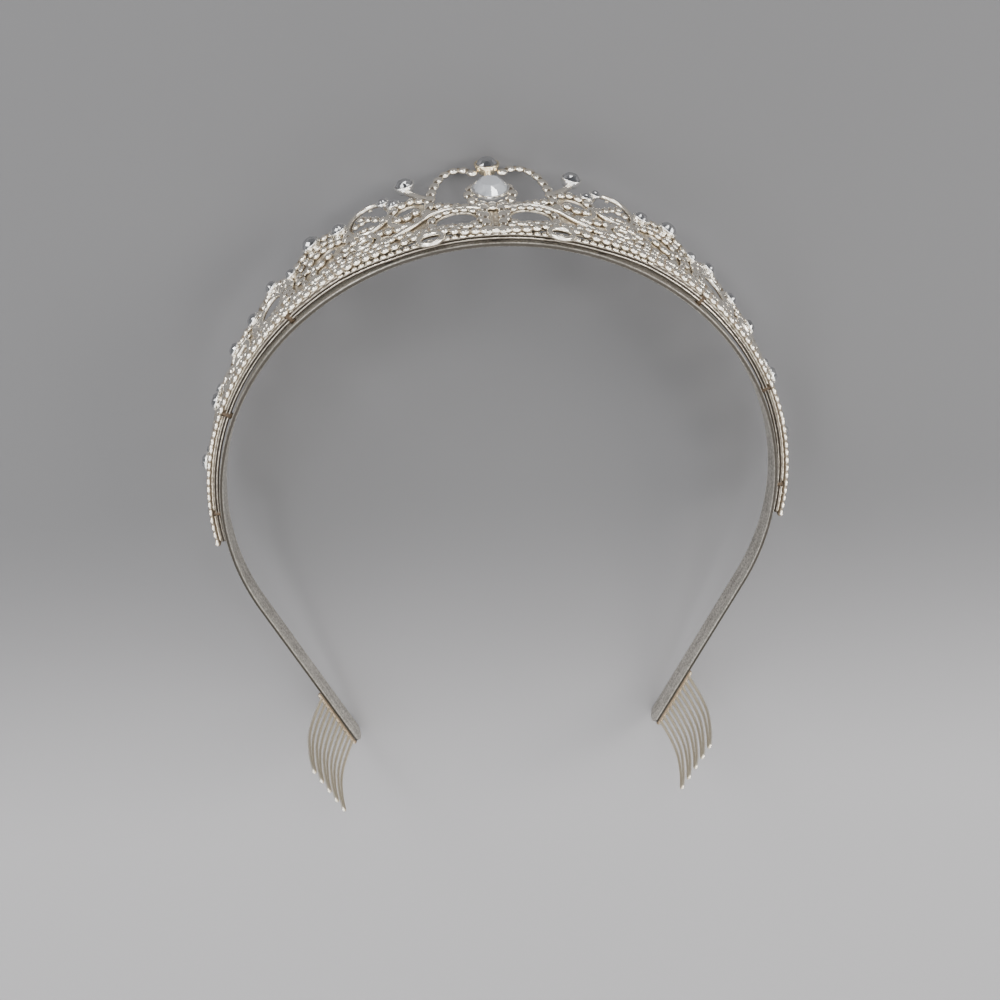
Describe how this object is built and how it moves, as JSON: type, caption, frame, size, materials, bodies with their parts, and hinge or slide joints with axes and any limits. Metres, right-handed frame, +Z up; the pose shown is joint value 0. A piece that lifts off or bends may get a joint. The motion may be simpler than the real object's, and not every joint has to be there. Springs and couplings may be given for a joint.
{
  "type": "pageant crown",
  "caption": "Silver headband crown: sprung horseshoe band, cast openwork crest of beaded scrolls and loops, cut stones in cups, and a wire comb under each end.",
  "frame": {"origin": "bottom centre of the crown as it rests by itself", "axes": "+Z up from the surface, +Y towards the front of the crest, +X to the right in the picture's view; the crown is symmetric across X = 0"},
  "size_m": [0.1468, 0.162, 0.0391],
  "materials": {
    "band_steel": "satin rolled strip, silver plated, fine grain along its length",
    "crest_silver": "bright silver-plated casting with dull brown in its hollows",
    "comb_wire": "drawn wire, silver plated, darker at its solder",
    "centre_stone_glass": "pale cloudy cut glass, foil backed",
    "clear_stone": "clear cut glass, foil backed"
  },
  "bodies": {
    "root": {"headband": "band_steel", "crest": "crest_silver", "comb_left": "comb_wire", "comb_right": "comb_wire", "centre_stone": "centre_stone_glass", "top_stone": "clear_stone", "left_stone_1": "clear_stone", "left_stone_2": "clear_stone", "left_stone_3": "clear_stone", "left_stone_4": "clear_stone", "left_stone_5": "clear_stone", "left_stone_6": "clear_stone", "left_stone_7": "clear_stone", "left_stone_8": "clear_stone", "left_stone_9": "clear_stone", "left_stone_10": "clear_stone", "left_stone_11": "clear_stone", "left_stone_12": "clear_stone", "left_stone_13": "clear_stone", "left_stone_14": "clear_stone", "right_stone_1": "clear_stone", "right_stone_2": "clear_stone", "right_stone_3": "clear_stone", "right_stone_4": "clear_stone", "right_stone_5": "clear_stone", "right_stone_6": "clear_stone", "right_stone_7": "clear_stone", "right_stone_8": "clear_stone", "right_stone_9": "clear_stone", "right_stone_10": "clear_stone", "right_stone_11": "clear_stone", "right_stone_12": "clear_stone", "right_stone_13": "clear_stone", "right_stone_14": "clear_stone"}
  },
  "joints": []
}
